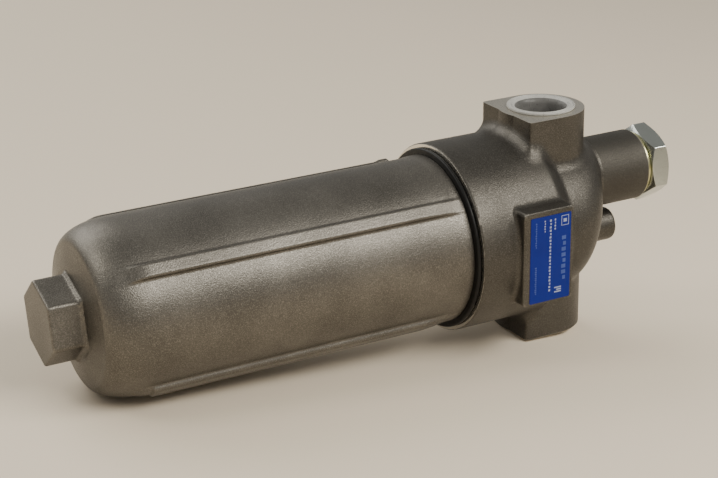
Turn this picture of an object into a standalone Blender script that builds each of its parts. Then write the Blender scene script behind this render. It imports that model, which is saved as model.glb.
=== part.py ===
"""Inline pressure filter lying on its side: cast head, screw-on bowl, filter element, bypass valve and plugs.

The filter frame has its origin where the port axis crosses the main axis. X runs along the main axis,
from the bowl (-X) to the valve tube (+X), the two ports open along +Z and -Z, and the label faces -Y.
Sizes and places below are in millimetres in that frame; the mesh functions turn them into metres.
"""

import math

import bmesh
import bpy
from mathutils import Matrix, Vector

MM = 0.001
GAP = 0.3                    # space left between two pieces that touch
OVERRUN = 5.0                # how far a cutter runs past the face that it opens
SEGMENTS = 36                # sides of a large round
SMALL_SEGMENTS = 24          # sides of a small round

# Head: bowl collar and rear body
COLLAR_RADIUS = 55.0
COLLAR_FRONT = -73.0
COLLAR_BACK = -20.0
EDGE_BREAK = 0.8             # chamfer on turned edges
SHOULDER_LENGTH = 15.0       # the collar eases down to the rear body over this length
REAR_RADIUS = 45.3
REAR_START = -10.7
REAR_END = 29.7
REAR_POWER = 3.5             # how late the rear body closes in on the valve tube

# Head: ports
PORT_FACE = 67.3             # distance of each port face from the main axis
PORT_BLOCK_FRONT = -24.2
PORT_BLOCK_RADIUS = 25.4
PORT_BLOCK_CORNER = 1.6
PORT_THREAD_RADIUS = 15.3    # tapping size of a G1 thread
PORT_THREAD_DEPTH = 22.0
PORT_BORE_RADIUS = 12.5
SPOT_FACE_RADIUS = 20.8
SPOT_FACE_DEPTH = 0.3
PORT_MOUTH_RADIUS = 17.3
INLET_BOTTOM = 20.0          # the inlet bore stops this far above the main axis

# Head: label pads
PAD_FACE = 59.0
PAD_X = (-49.6, -16.4)
PAD_Z = (-28.4, 27.6)
PAD_CORNER = 2.0
LABEL_X = (-45.6, -18.6)
LABEL_Z = (-27.0, 24.3)
LABEL_CORNER = 1.0
LABEL_THICKNESS = 0.5

# Head: bowl socket and chambers
SOCKET_RADIUS = 45.3
SOCKET_THREAD_END = -51.0
SEAL_BORE_RADIUS = 44.2
SEAL_BORE_END = -38.0
CHAMBER_RADIUS = 38.0
CHAMBER_END = -24.0
ELEMENT_SOCKET_RADIUS = 14.2
ELEMENT_SOCKET_END = 2.0
DIRTY_PASSAGE_Z = 30.0
DIRTY_PASSAGE_RADIUS = 7.0

# Head: valve tube and mounting boss
TUBE_Z = 20.26
TUBE_RADIUS = 21.25
TUBE_END = 65.0
TUBE_BORE_RADIUS = 14.0
TUBE_BORE_START = 16.0
TUBE_THREAD_START = 49.0
TUBE_THREAD_RADIUS = 16.7    # tapping size of an M36 x 2 thread, less its taps' runout
VALVE_INLET_START = 6.0
RETURN_START = (31.0, 0.0, 9.6)
RETURN_END = (4.0, 0.0, -14.0)
RETURN_RADIUS = 4.0
BOSS_Z = -15.1
BOSS_RADIUS = 10.0
BOSS_END = 50.8
BOSS_BEVEL = 1.2
BOSS_HOLE_RADIUS = 3.4       # tapping size of an M8 thread
BOSS_HOLE_DEPTH = 16.0

# Bowl
BOWL_SHOULDER = -76.1
BOWL_LIP_RADIUS = 49.3
BOWL_LIP_LENGTH = 2.4
BOWL_LIP_SLOPE = 2.0
BOWL_RADIUS = 48.3
BOWL_FILLET_START = -265.3
BOWL_FILLET_LENGTH = 24.7
BOWL_FILLET_DROP = 10.9
BOWL_CONE_LENGTH = 3.0
BOWL_END_RADIUS = 24.0       # flat middle of the closed end, under the hexagon
BOWL_BORE_RADIUS = 38.0
BOWL_BORE_END = -262.0
BOWL_FLOOR = -280.0
SPIGOT_END = -40.0
THREAD_RADIUS = 44.8         # the M90 x 2 thread is left as a plain band
THREAD_X = (-72.0, -52.5)
UNDERCUT_RADIUS = 43.7
SEAL_LAND_RADIUS = 43.9
GROOVE_X = (-49.0, -43.4)
GROOVE_RADIUS = 40.9

# Bowl: hexagon and ribs
HEX_END = -311.4
HEX_RADIUS = 23.5
HEX_FOOT_RADIUS = 25.0
HEX_FOOT_LENGTH = 1.4
HEX_ROOT = 5.0               # how far the hexagon is sunk into the closed end
HEX_TURN = math.radians(-10.65)
HEX_BEVEL = 0.9
RIB_ANGLES = (41.0, 131.0, 221.0, 311.0)
RIB_WIDTH = 8.6
RIB_RADIUS = 51.2
RIB_START = -277.0
RIB_END = -79.5
RIB_RUNOUTS = (16.0, 2.0)    # length of the run-out at the closed end and at the mouth
RIB_TIP_DEPTH = 3.0          # a rib's tips lie this far inside the bowl's wall
RIB_ROOT_DEPTH = 4.0
RIB_EDGE = 0.7
RIB_FLARE = 0.5

# Filter element
ELEMENT_CAP_RADIUS = 34.5
TOP_CAP_X = (-36.0, -32.0)
SPIGOT_RADIUS = 13.6
SPIGOT_BORE_RADIUS = 9.5
SPIGOT_TIP = -8.0
SPIGOT_GROOVE_X = (-18.4, -15.6)
SPIGOT_GROOVE_RADIUS = 11.6
BOTTOM_CAP_X = (-242.0, -238.0)
CORE_RADII = (13.6, 15.2)
CORE_HOLE_RADIUS = 4.0
CORE_HOLE_ROWS = 8
PLEAT_RADII = (15.8, 32.4)
PLEAT_COUNT = 36
PLEAT_THICKNESS = 0.9
SLEEVE_RADII = (33.0, 33.8)
SLEEVE_HOLE_ROWS = 3
SLEEVE_HOLE_COLUMNS = 4
SLEEVE_HOLE_RADIUS = 18.0
SPRING_PILOT_RADIUS = 9.5
SPRING_PILOT_LENGTH = 4.0
ELEMENT_SPRING_RADIUS = 13.0
ELEMENT_SPRING_WIRE = 1.1
ELEMENT_SPRING_TURNS = 6

# Seals
SEAL_RING_RADII = (45.6, 52.6)
SEAL_RING_EDGE = 0.6
BOWL_O_RING = (-45.2, 42.4, 1.2)         # place along X, ring radius, section radius
BACKUP_RING_X = (-48.7, -47.1)
ELEMENT_O_RING = (-17.0, 12.9, 1.0)
SEAT_O_RING = (19.8, 12.75, 0.75)

# Bypass valve and its plug
SEAT_X = (16.3, 23.3)
SEAT_RADIUS = 13.7
SEAT_HOLE_RADIUS = 7.5
SEAT_CONE_LENGTH = 1.6
SEAT_GROOVE_X = (18.6, 21.0)
SEAT_GROOVE_RADIUS = 11.7
POPPET_RADIUS = 10.5
POPPET_DISC_END = 27.0
STEM_RADIUS = 3.2
STEM_END = 54.0
BYPASS_SPRING_RADIUS = 7.4
BYPASS_SPRING_WIRE = 0.8
BYPASS_SPRING_TURNS = 7
WASHER_X = (65.3, 67.3)
WASHER_RADII = (16.9, 20.2)
PLUG_SHANK_RADIUS = 16.3
PLUG_SHANK_START = 49.0
PLUG_GUIDE_END = 62.0
PLUG_SHANK_ROOT = 2.0        # how far the shank is sunk into the hexagon
NUT_X = (67.6, 81.4)
NUT_RADIUS = 23.7
NUT_FACE_RADIUS = 19.6
NUT_TURN = math.radians(97.26)
CHAMFER_ANGLE = math.radians(30)
CORNER_CLEARANCE = 1.0       # how far the chamfering barrel clears the hexagon

# Port plugs
FLANGE_RADIUS = 19.9
FLANGE_THICKNESS = 1.5
CAP_BODY_RADIUS = 14.7
CAP_BORE_RADIUS = 13.3
CAP_MOUTH_RADIUS = 16.3
CAP_MOUTH_DEPTH = 2.8
CAP_DEPTH = 15.0
CAP_FLOOR = 1.6
CAP_SHOULDER = 1.4
CAP_EDGE = 0.4

# The filter stands with its lowest face on the ground, and its box is centred over the origin.
AXIS_HEIGHT = PORT_FACE - SPOT_FACE_DEPTH + GAP + FLANGE_THICKNESS
FRAME_SHIFT = -(HEX_END + NUT_X[1]) / 2


# ---------------------------------------------------------------- materials

def material(name, colour, metallic, roughness):
    found = bpy.data.materials.get(name)
    if found:
        return found
    made = bpy.data.materials.new(name)
    made.use_nodes = True
    shader = made.node_tree.nodes["Principled BSDF"]
    shader.inputs["Base Color"].default_value = (*colour, 1.0)
    shader.inputs["Metallic"].default_value = metallic
    shader.inputs["Roughness"].default_value = roughness
    return made


def cast_aluminium():
    return material("cast_aluminium", (0.20, 0.18, 0.15), 0.85, 0.55)


def black_rubber():
    return material("black_rubber", (0.012, 0.012, 0.012), 0.0, 0.5)


def plated_steel():
    return material("plated_steel", (0.42, 0.44, 0.42), 1.0, 0.35)


def yellow_washer():
    return material("yellow_washer", (0.55, 0.50, 0.25), 1.0, 0.3)


def machined_steel():
    return material("machined_steel", (0.45, 0.45, 0.45), 1.0, 0.3)


def spring_steel():
    return material("spring_steel", (0.25, 0.25, 0.26), 1.0, 0.3)


def white_plastic():
    return material("white_plastic", (0.72, 0.74, 0.74), 0.0, 0.35)


def label_blue():
    return material("label_blue", (0.02, 0.06, 0.35), 0.0, 0.4)


def filter_media():
    return material("filter_media", (0.75, 0.72, 0.62), 0.0, 0.9)


def seal_backing():
    return material("seal_backing", (0.85, 0.83, 0.78), 0.0, 0.5)


# ---------------------------------------------------------------- mesh tools

def add_object(name, bm, finish, parent, smooth_angle=30):
    """Turn a bmesh, made in millimetres, into an object in metres under its parent."""
    bmesh.ops.recalc_face_normals(bm, faces=bm.faces)
    bmesh.ops.scale(bm, vec=(MM, MM, MM), verts=bm.verts)
    mesh = bpy.data.meshes.new(name)
    bm.to_mesh(mesh)
    bm.free()
    mesh.materials.append(finish)
    mesh.shade_smooth()
    mesh.set_sharp_from_angle(angle=math.radians(smooth_angle))
    made = bpy.data.objects.new(name, mesh)
    bpy.context.collection.objects.link(made)
    made.parent = parent
    return made


def add_empty(name, place, parent):
    made = bpy.data.objects.new(name, None)
    made.location = Vector(place) * MM
    made.parent = parent
    bpy.context.collection.objects.link(made)
    return made


def operand(shape):
    """Keep a shape as a guide for a Boolean modifier, out of the finished object."""
    shape.hide_render = True
    shape.display_type = "WIRE"
    return shape


def boolean(target, shape, operation):
    step = target.modifiers.new(shape.name, "BOOLEAN")
    step.operation = operation
    step.object = operand(shape)
    return target


def cut(target, *shapes):
    for shape in shapes:
        boolean(target, shape, "DIFFERENCE")
    return target


def fuse(target, *shapes):
    for shape in shapes:
        boolean(target, shape, "UNION")
    return target


def circle(x, radius, z=0.0, segments=SEGMENTS):
    """Points round the X direction, or the one point on the axis when the radius is nought."""
    if radius == 0:
        return [Vector((x, 0.0, z))]
    turns = [2 * math.pi * step / segments for step in range(segments)]
    return [Vector((x, radius * math.sin(turn), z + radius * math.cos(turn))) for turn in turns]


def join_rings(bm, first, second):
    """Skin the space between two rings of vertices; either one may be a single point."""
    count = max(len(first), len(second))
    for index in range(count):
        corners = [first[index % len(first)], first[(index + 1) % len(first)],
                   second[(index + 1) % len(second)], second[index % len(second)]]
        bm.faces.new(list(dict.fromkeys(corners)))


def skin(rings, closed_section=False):
    """Mesh through a row of rings. A closed section returns to its first ring; otherwise ends are capped."""
    bm = bmesh.new()
    rows = [[bm.verts.new(point) for point in ring] for ring in rings]
    for first, second in zip(rows, rows[1:]):
        join_rings(bm, first, second)
    if closed_section:
        join_rings(bm, rows[-1], rows[0])
    else:
        for row in (rows[0], rows[-1]):
            if len(row) > 2:
                bm.faces.new(row)
    return bm


def turned(outline, segments=SEGMENTS, z=0.0):
    """Solid of revolution about X from (x, radius) corners. An outline off the axis makes a ring."""
    off_axis = outline[0][1] > 0 and outline[-1][1] > 0
    return skin([circle(x, radius, z, segments) for x, radius in outline], closed_section=off_axis)


def cylinder(x_start, x_end, radius, z=0.0, segments=SEGMENTS):
    return skin([circle(x_start, radius, z, segments), circle(x_end, radius, z, segments)])


def rod(start, end, radius, segments=SMALL_SEGMENTS):
    """Cylinder between two points."""
    bm = cylinder(0.0, (Vector(end) - Vector(start)).length, radius, segments=segments)
    turn = Vector((1, 0, 0)).rotation_difference(Vector(end) - Vector(start)).to_matrix().to_4x4()
    bmesh.ops.transform(bm, matrix=Matrix.Translation(start) @ turn, verts=bm.verts)
    return bm


def arc(centre, radius, start, end, steps):
    """Points on a circle from one angle to another, in degrees."""
    angles = [math.radians(start + (end - start) * step / steps) for step in range(steps + 1)]
    return [(centre[0] + radius * math.cos(angle), centre[1] + radius * math.sin(angle)) for angle in angles]


def rounded_rectangle(u_range, v_range, radius, steps=4):
    u_low, u_high = u_range
    v_low, v_high = v_range
    return (arc((u_high - radius, v_low + radius), radius, -90, 0, steps)
            + arc((u_high - radius, v_high - radius), radius, 0, 90, steps)
            + arc((u_low + radius, v_high - radius), radius, 90, 180, steps)
            + arc((u_low + radius, v_low + radius), radius, 180, 270, steps))


def along_x(points, x):
    return [Vector((x, u, v)) for u, v in points]


def along_y(points, y):
    return [Vector((u, y, v)) for u, v in points]


def along_z(points, z):
    return [Vector((u, v, z)) for u, v in points]


def about_z(bm):
    """Turn a solid made about +X so that its axis points along +Z."""
    bmesh.ops.rotate(bm, cent=(0, 0, 0), matrix=Matrix.Rotation(math.radians(-90), 3, "Y"), verts=bm.verts)
    return bm


def upside_down(bm):
    """Half a turn about X, which takes a shape from the top port to the bottom one."""
    bmesh.ops.rotate(bm, cent=(0, 0, 0), matrix=Matrix.Rotation(math.pi, 3, "X"), verts=bm.verts)
    return bm


def hexagon(radius, turn):
    """Six corners in the YZ plane; turn is measured from -Y towards +Z."""
    angles = [turn + math.radians(60 * corner) for corner in range(6)]
    return [(-radius * math.cos(angle), radius * math.sin(angle)) for angle in angles]


def torus(place, ring_radius, section_radius, steps=8, segments=SEGMENTS):
    outline = arc((place, ring_radius), section_radius, 0, 360 - 360 / steps, steps - 1)
    return turned(outline, segments)


def ring(x_range, radii, segments=SEGMENTS):
    (low, high), (inner, outer) = x_range, radii
    return turned([(low, inner), (low, outer), (high, outer), (high, inner)], segments)


def coil(x_start, x_end, coil_radius, wire_radius, turns, steps=12, sides=6):
    """Wire wound about X, with flat ends."""
    count = turns * steps
    rings = []
    for step in range(count + 1):
        turn = 2 * math.pi * step / steps
        out = Vector((0.0, math.cos(turn), math.sin(turn)))
        centre = Vector((x_start + (x_end - x_start) * step / count, 0.0, 0.0)) + coil_radius * out
        rings.append([centre + wire_radius * (math.cos(side) * out + math.sin(side) * Vector((1, 0, 0)))
                      for side in (2 * math.pi * number / sides for number in range(sides))])
    return skin(rings)


def add_mesh(bm, other):
    """Copy one bmesh into another."""
    copied = {vert: bm.verts.new(vert.co) for vert in other.verts}
    for face in other.faces:
        bm.faces.new([copied[vert] for vert in face.verts])
    other.free()


# ---------------------------------------------------------------- head

def head_outline():
    """Stations (x, radius, height of centre) of the collar, shoulder, rear body and valve tube."""
    stations = [(COLLAR_FRONT, COLLAR_RADIUS - EDGE_BREAK, 0.0),
                (COLLAR_FRONT + EDGE_BREAK, COLLAR_RADIUS, 0.0)]
    shoulder_steps, rear_steps = 5, 10
    shoulder_end = COLLAR_BACK + SHOULDER_LENGTH
    places = [COLLAR_BACK + SHOULDER_LENGTH * step / shoulder_steps for step in range(shoulder_steps)]
    places += [shoulder_end + (REAR_END - shoulder_end) * step / rear_steps for step in range(rear_steps + 1)]
    for x in places:
        ease = min((x - COLLAR_BACK) / SHOULDER_LENGTH, 1.0)
        base = REAR_RADIUS + (COLLAR_RADIUS - REAR_RADIUS) * (1 + math.cos(math.pi * ease)) / 2
        closing = max((x - REAR_START) / (REAR_END - REAR_START), 0.0) ** REAR_POWER
        stations.append((x, base - (REAR_RADIUS - TUBE_RADIUS) * closing, TUBE_Z * closing))
    stations.append((TUBE_END - EDGE_BREAK, TUBE_RADIUS, TUBE_Z))
    stations.append((TUBE_END, TUBE_RADIUS - EDGE_BREAK, TUBE_Z))
    return stations


def port_block_outline():
    """D shape about the port axis: flat towards the bowl, round towards the valve tube."""
    half, corner = PORT_BLOCK_RADIUS, PORT_BLOCK_CORNER
    front = PORT_BLOCK_FRONT + corner
    return (arc((0.0, 0.0), half, -90, 90, 16)
            + arc((front, half - corner), corner, 90, 180, 3)
            + arc((front, corner - half), corner, 180, 270, 3))


def port_cutter(bottom):
    """Spot face, countersink, thread and bore of one port, turned about +Z."""
    thread_end = PORT_FACE - PORT_THREAD_DEPTH
    floor = PORT_FACE - SPOT_FACE_DEPTH
    sink = PORT_MOUTH_RADIUS - PORT_THREAD_RADIUS
    mouth = PORT_FACE + OVERRUN
    outline = [(mouth, 0.0), (mouth, SPOT_FACE_RADIUS), (floor, SPOT_FACE_RADIUS),
               (floor, PORT_MOUTH_RADIUS), (floor - sink, PORT_THREAD_RADIUS),
               (thread_end, PORT_THREAD_RADIUS), (thread_end, PORT_BORE_RADIUS),
               (bottom, PORT_BORE_RADIUS), (bottom, 0.0)]
    return about_z(turned(outline, SMALL_SEGMENTS))


def socket_cutter():
    """Bowl thread, seal bore, dirty-oil chamber and element socket, all on the main axis."""
    mouth = COLLAR_FRONT - OVERRUN
    lead = SOCKET_RADIUS - SEAL_BORE_RADIUS
    return turned([(mouth, 0.0), (mouth, SOCKET_RADIUS), (SOCKET_THREAD_END - lead, SOCKET_RADIUS),
                   (SOCKET_THREAD_END, SEAL_BORE_RADIUS), (SEAL_BORE_END, SEAL_BORE_RADIUS),
                   (SEAL_BORE_END, CHAMBER_RADIUS), (CHAMBER_END, CHAMBER_RADIUS),
                   (CHAMBER_END, ELEMENT_SOCKET_RADIUS), (ELEMENT_SOCKET_END, ELEMENT_SOCKET_RADIUS),
                   (ELEMENT_SOCKET_END, 0.0)])


def tube_cutter():
    """Thread and bore of the valve tube, and the hole that leads to it from the inlet."""
    mouth = TUBE_END + OVERRUN
    return turned([(mouth, 0.0), (mouth, TUBE_THREAD_RADIUS), (TUBE_THREAD_START, TUBE_THREAD_RADIUS),
                   (TUBE_THREAD_START, TUBE_BORE_RADIUS), (TUBE_BORE_START, TUBE_BORE_RADIUS),
                   (TUBE_BORE_START, SEAT_HOLE_RADIUS), (VALVE_INLET_START, SEAT_HOLE_RADIUS),
                   (VALVE_INLET_START, 0.0)], SMALL_SEGMENTS, TUBE_Z)


def head_casting(frame):
    finish = cast_aluminium()

    def shape(name, bm):
        return add_object(name, bm, finish, frame)

    body = shape("head_casting", skin([circle(x, radius, z) for x, radius, z in head_outline()]))
    block = port_block_outline()
    pad = rounded_rectangle(PAD_X, PAD_Z, PAD_CORNER)
    fuse(body,
         shape("port_blocks", skin([along_z(block, -PORT_FACE), along_z(block, PORT_FACE)])),
         shape("label_pads", skin([along_y(pad, -PAD_FACE), along_y(pad, PAD_FACE)])),
         shape("mounting_boss", skin([circle(0.0, BOSS_RADIUS, BOSS_Z, SMALL_SEGMENTS),
                                      circle(BOSS_END - BOSS_BEVEL, BOSS_RADIUS, BOSS_Z, SMALL_SEGMENTS),
                                      circle(BOSS_END, BOSS_RADIUS - BOSS_BEVEL, BOSS_Z, SMALL_SEGMENTS)])))
    recess = rounded_rectangle((LABEL_X[0] - GAP, LABEL_X[1] + GAP), (LABEL_Z[0] - GAP, LABEL_Z[1] + GAP),
                               LABEL_CORNER)
    recess_floor = -PAD_FACE + LABEL_THICKNESS + GAP
    cut(body,
        shape("bowl_socket", socket_cutter()),
        shape("inlet_port", port_cutter(INLET_BOTTOM)),
        shape("outlet_port", upside_down(port_cutter(0.0))),
        shape("valve_bore", tube_cutter()),
        shape("dirty_passage", cylinder(CHAMBER_END - OVERRUN, 0.0, DIRTY_PASSAGE_RADIUS, DIRTY_PASSAGE_Z,
                                        SMALL_SEGMENTS)),
        shape("return_passage", rod(RETURN_START, RETURN_END, RETURN_RADIUS)),
        shape("boss_hole", cylinder(BOSS_END - BOSS_HOLE_DEPTH, BOSS_END + OVERRUN, BOSS_HOLE_RADIUS, BOSS_Z,
                                    SMALL_SEGMENTS)),
        shape("label_recess", skin([along_y(recess, -PAD_FACE - OVERRUN), along_y(recess, recess_floor)])))
    return body


def label_plate(frame):
    outline = rounded_rectangle(LABEL_X, LABEL_Z, LABEL_CORNER)
    faces = [along_y(outline, -PAD_FACE), along_y(outline, -PAD_FACE + LABEL_THICKNESS)]
    return add_object("label_plate", skin(faces), label_blue(), frame)


# ---------------------------------------------------------------- bowl

def bowl_outline():
    """Half section of the bowl: outside from the shoulder to the closed end, then back along the bore."""
    fillet_steps = 7
    end = BOWL_FILLET_START - BOWL_FILLET_LENGTH
    outline = [(end - BOWL_CONE_LENGTH, 0.0), (end - BOWL_CONE_LENGTH, BOWL_END_RADIUS)]
    for step in range(fillet_steps + 1):
        angle = math.pi / 2 * (1 - step / fillet_steps)
        outline.append((BOWL_FILLET_START - BOWL_FILLET_LENGTH * math.sin(angle),
                        BOWL_RADIUS - BOWL_FILLET_DROP * (1 - math.cos(angle))))
    lip = BOWL_SHOULDER - BOWL_LIP_LENGTH
    outline += [(lip - BOWL_LIP_SLOPE, BOWL_RADIUS), (lip, BOWL_LIP_RADIUS),
                (BOWL_SHOULDER - EDGE_BREAK / 2, BOWL_LIP_RADIUS),
                (BOWL_SHOULDER, BOWL_LIP_RADIUS - EDGE_BREAK / 2), (BOWL_SHOULDER, UNDERCUT_RADIUS),
                (THREAD_X[0] - EDGE_BREAK, UNDERCUT_RADIUS), (THREAD_X[0], THREAD_RADIUS),
                (THREAD_X[1], THREAD_RADIUS), (THREAD_X[1] + EDGE_BREAK, SEAL_LAND_RADIUS),
                (GROOVE_X[0], SEAL_LAND_RADIUS), (GROOVE_X[0], GROOVE_RADIUS),
                (GROOVE_X[1], GROOVE_RADIUS), (GROOVE_X[1], SEAL_LAND_RADIUS),
                (SPIGOT_END - EDGE_BREAK, SEAL_LAND_RADIUS), (SPIGOT_END, SEAL_LAND_RADIUS - EDGE_BREAK),
                (SPIGOT_END, BOWL_BORE_RADIUS)]
    floor_steps = 4
    depth = BOWL_BORE_END - BOWL_FLOOR
    for step in range(floor_steps + 1):
        angle = math.pi / 2 * step / floor_steps
        outline.append((BOWL_BORE_END - depth * math.sin(angle),
                        BOWL_BORE_RADIUS - depth * (1 - math.cos(angle))))
    outline.append((BOWL_FLOOR, 0.0))
    return outline


def rib_stations():
    """Places along a rib and its height there: it swells out of the wall, runs level and sinks back."""
    steps = 4
    tip_radius = BOWL_RADIUS - RIB_TIP_DEPTH
    stations = []
    for tip, runout in ((RIB_START, RIB_RUNOUTS[0]), (RIB_END, -RIB_RUNOUTS[1])):
        for step in range(steps + 1):
            share = step / steps
            swell = (1 - math.cos(math.pi * share)) / 2
            stations.append((tip + runout * share, tip_radius + (RIB_RADIUS - tip_radius) * swell))
    return sorted(stations)


def bowl_rib(angle):
    """Low flat strip along the bowl. The angle goes from -Y towards +Z."""
    root = BOWL_RADIUS - RIB_ROOT_DEPTH
    half = RIB_WIDTH / 2
    sections = [along_x([(-half - RIB_FLARE, root), (half + RIB_FLARE, root), (half, top - RIB_EDGE),
                         (half - RIB_EDGE, top), (RIB_EDGE - half, top), (-half, top - RIB_EDGE)], x)
                for x, top in rib_stations()]
    bm = skin(sections)
    turn = Matrix.Rotation(math.radians(90 - angle), 3, "X")
    bmesh.ops.rotate(bm, cent=(0, 0, 0), matrix=turn, verts=bm.verts)
    return bm


def bowl(frame):
    finish = cast_aluminium()
    body = add_object("bowl", turned(bowl_outline()), finish, frame)
    foot = BOWL_FILLET_START - BOWL_FILLET_LENGTH - BOWL_CONE_LENGTH
    levels = [(foot + HEX_ROOT, HEX_FOOT_RADIUS), (foot, HEX_FOOT_RADIUS),
              (foot - HEX_FOOT_LENGTH, HEX_RADIUS), (HEX_END + HEX_BEVEL, HEX_RADIUS),
              (HEX_END, HEX_RADIUS - HEX_BEVEL)]
    hex_sections = [along_x(hexagon(radius, math.pi / 2 - HEX_TURN), x) for x, radius in levels]
    fuse(body, add_object("bowl_hexagon", skin(hex_sections), finish, frame))
    for number, angle in enumerate(RIB_ANGLES, start=1):
        fuse(body, add_object(f"bowl_rib_{number}", bowl_rib(angle), finish, frame))
    return body


# ---------------------------------------------------------------- seals

def bowl_seal_ring(frame):
    """Square-edged rubber ring squeezed between the bowl's shoulder and the collar."""
    low, high = BOWL_SHOULDER + GAP, COLLAR_FRONT - GAP
    inner, outer = SEAL_RING_RADII
    edge = SEAL_RING_EDGE
    outline = [(low, inner), (low, outer - edge), (low + edge, outer), (high - edge, outer),
               (high, outer - edge), (high, inner)]
    return add_object("bowl_seal_ring", turned(outline), black_rubber(), frame)


def bowl_seals(frame):
    """O-ring and the backup ring behind it, in the groove near the mouth of the bowl."""
    add_object("bowl_o_ring", torus(*BOWL_O_RING), black_rubber(), frame)
    radii = (GROOVE_RADIUS + GAP, SEAL_LAND_RADIUS)
    add_object("bowl_backup_ring", ring(BACKUP_RING_X, radii), seal_backing(), frame)


def element_o_ring(frame):
    section = torus(*ELEMENT_O_RING, segments=SMALL_SEGMENTS)
    return add_object("element_o_ring", section, black_rubber(), frame)


def seat_o_ring(valve_axis):
    section = torus(*SEAT_O_RING, segments=SMALL_SEGMENTS)
    return add_object("bypass_seat_o_ring", section, black_rubber(), valve_axis)


# ---------------------------------------------------------------- filter element

def element_top_cap(frame):
    low, high = TOP_CAP_X
    groove_low, groove_high = SPIGOT_GROOVE_X
    outline = [(low, SPIGOT_BORE_RADIUS), (low, ELEMENT_CAP_RADIUS), (high, ELEMENT_CAP_RADIUS),
               (high, SPIGOT_RADIUS), (groove_low, SPIGOT_RADIUS), (groove_low, SPIGOT_GROOVE_RADIUS),
               (groove_high, SPIGOT_GROOVE_RADIUS), (groove_high, SPIGOT_RADIUS),
               (SPIGOT_TIP - EDGE_BREAK, SPIGOT_RADIUS), (SPIGOT_TIP, SPIGOT_RADIUS - EDGE_BREAK),
               (SPIGOT_TIP, SPIGOT_BORE_RADIUS)]
    return add_object("element_top_cap", turned(outline), machined_steel(), frame)


def element_bottom_cap(frame):
    low, high = BOTTOM_CAP_X
    pilot = low - SPRING_PILOT_LENGTH
    outline = [(high, 0.0), (high, ELEMENT_CAP_RADIUS), (low, ELEMENT_CAP_RADIUS), (low, SPRING_PILOT_RADIUS),
               (pilot + EDGE_BREAK, SPRING_PILOT_RADIUS), (pilot, SPRING_PILOT_RADIUS - EDGE_BREAK),
               (pilot, 0.0)]
    return add_object("element_bottom_cap", turned(outline), machined_steel(), frame)


def element_span():
    """Ends of the tubes and the pleats, between the two caps."""
    return BOTTOM_CAP_X[1] + GAP, TOP_CAP_X[0] - GAP


def core_tube(frame):
    start, end = element_span()
    wall = ring((start, end), CORE_RADII, SMALL_SEGMENTS)
    tube = add_object("element_core_tube", wall, machined_steel(), frame)
    pitch = (end - start) / CORE_HOLE_ROWS
    drills = bmesh.new()
    for row in range(CORE_HOLE_ROWS):
        x = start + pitch * (row + 0.5)
        angle = math.pi / 2 * (row % 2) + math.pi / 4
        reach = Vector((0.0, math.cos(angle), math.sin(angle))) * (CORE_RADII[1] + OVERRUN)
        add_mesh(drills, rod(Vector((x, 0, 0)) - reach, Vector((x, 0, 0)) + reach, CORE_HOLE_RADIUS, 8))
    return cut(tube, add_object("core_tube_holes", drills, machined_steel(), frame))


def pleated_media(frame):
    """Filter paper folded into a star between the core tube and the outer sleeve."""
    inner, outer = PLEAT_RADII
    folds = 2 * PLEAT_COUNT

    def star(shift):
        points = []
        for fold in range(folds):
            angle = 2 * math.pi * fold / folds
            radius = (outer if fold % 2 else inner + PLEAT_THICKNESS) + shift
            points.append((radius * math.sin(angle), radius * math.cos(angle)))
        return points

    low, high = element_span()
    rings = [along_x(star(-PLEAT_THICKNESS), low), along_x(star(0.0), low),
             along_x(star(0.0), high), along_x(star(-PLEAT_THICKNESS), high)]
    return add_object("element_pleated_media", skin(rings, closed_section=True), filter_media(), frame, 10)


def outer_sleeve(frame):
    """Thin sleeve round the pleats, with staggered rows of large six-sided windows."""
    start, end = element_span()
    inner, outer = SLEEVE_RADII
    sleeve = add_object("element_outer_sleeve", ring((start, end), SLEEVE_RADII), machined_steel(), frame)
    pitch = (end - start) / SLEEVE_HOLE_ROWS
    windows = bmesh.new()
    for row in range(SLEEVE_HOLE_ROWS):
        centre = Vector((start + pitch * (row + 0.5), 0.0, 0.0))
        for column in range(SLEEVE_HOLE_COLUMNS):
            angle = 2 * math.pi * (column + 0.5 * (row % 2)) / SLEEVE_HOLE_COLUMNS
            out = Vector((0.0, math.cos(angle), math.sin(angle)))
            window = rod(centre + out * (inner / 2), centre + out * (outer + OVERRUN), SLEEVE_HOLE_RADIUS, 6)
            add_mesh(windows, window)
    return cut(sleeve, add_object("sleeve_windows", windows, machined_steel(), frame))


def element_spring(frame):
    start = BOWL_FLOOR + GAP + ELEMENT_SPRING_WIRE
    end = BOTTOM_CAP_X[0] - GAP - ELEMENT_SPRING_WIRE
    wire = coil(start, end, ELEMENT_SPRING_RADIUS, ELEMENT_SPRING_WIRE, ELEMENT_SPRING_TURNS)
    return add_object("element_spring", wire, spring_steel(), frame, 60)


# ---------------------------------------------------------------- bypass valve

def bypass_seat(valve_axis):
    low, high = SEAT_X
    groove_low, groove_high = SEAT_GROOVE_X
    outline = [(low, SEAT_HOLE_RADIUS), (low, SEAT_RADIUS), (groove_low, SEAT_RADIUS),
               (groove_low, SEAT_GROOVE_RADIUS), (groove_high, SEAT_GROOVE_RADIUS),
               (groove_high, SEAT_RADIUS), (high, SEAT_RADIUS), (high, SEAT_HOLE_RADIUS + SEAT_CONE_LENGTH),
               (high - SEAT_CONE_LENGTH, SEAT_HOLE_RADIUS)]
    return add_object("bypass_seat", turned(outline, SMALL_SEGMENTS), machined_steel(), valve_axis)


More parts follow.
